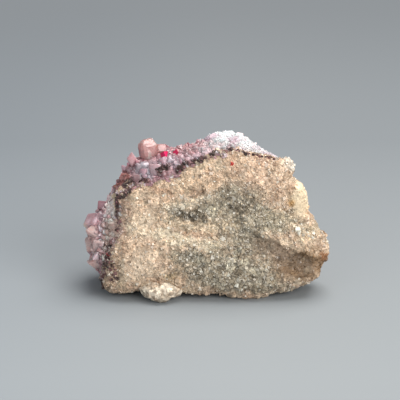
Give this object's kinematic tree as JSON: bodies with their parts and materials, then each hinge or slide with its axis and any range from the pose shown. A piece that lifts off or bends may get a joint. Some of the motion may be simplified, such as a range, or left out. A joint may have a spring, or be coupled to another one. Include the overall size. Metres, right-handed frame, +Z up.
{
  "type": "cobaltoan calcite mineral specimen",
  "caption": "Hand specimen of pink cobaltoan calcite druse with stand-out crystals and a white calcite cap, grown over a broken block of granular tan and grey-green matrix.",
  "frame": {"origin": "bottom centre of the specimen's box, on the surface it rests on", "axes": "+X along the specimen's length, from the crystal corner to the tapering right end; the broken matrix face looks towards -Y and leans back; the crystal side looks towards +Y; +Z up"},
  "size_m": [0.0648, 0.0356, 0.0405],
  "materials": {
    "granular_matrix": "rough sugary broken surface, tan to grey-green, with small bright grains",
    "cobaltoan_calcite": "translucent pink crystal druse, sparkling, with grey and dark brown patches near the matrix",
    "white_calcite": "white, finely crystalline, with mauve patches",
    "cream_calcite": "pale cream, granular, matt",
    "peach_calcite": "clear to cloudy peach pink crystal, glossy worn faces",
    "rose_calcite": "clear rose crystal, glossy",
    "pale_pink_calcite": "pale pink cloudy crystal with a cream tip, glossy",
    "magenta_calcite": "vivid magenta, glossy",
    "red_calcite": "deep red, waxy"
  },
  "bodies": {
    "root": {"matrix": "granular_matrix", "pink_druse": "cobaltoan_calcite", "white_calcite_cap": "white_calcite", "basal_nodule": "cream_calcite", "peach_crystal": "peach_calcite", "rose_crystal": "rose_calcite", "corner_crystal": "pale_pink_calcite", "magenta_crystal_large": "magenta_calcite", "magenta_crystal_small": "magenta_calcite", "red_grain_upper": "red_calcite", "red_grain_left": "red_calcite"}
  },
  "joints": []
}
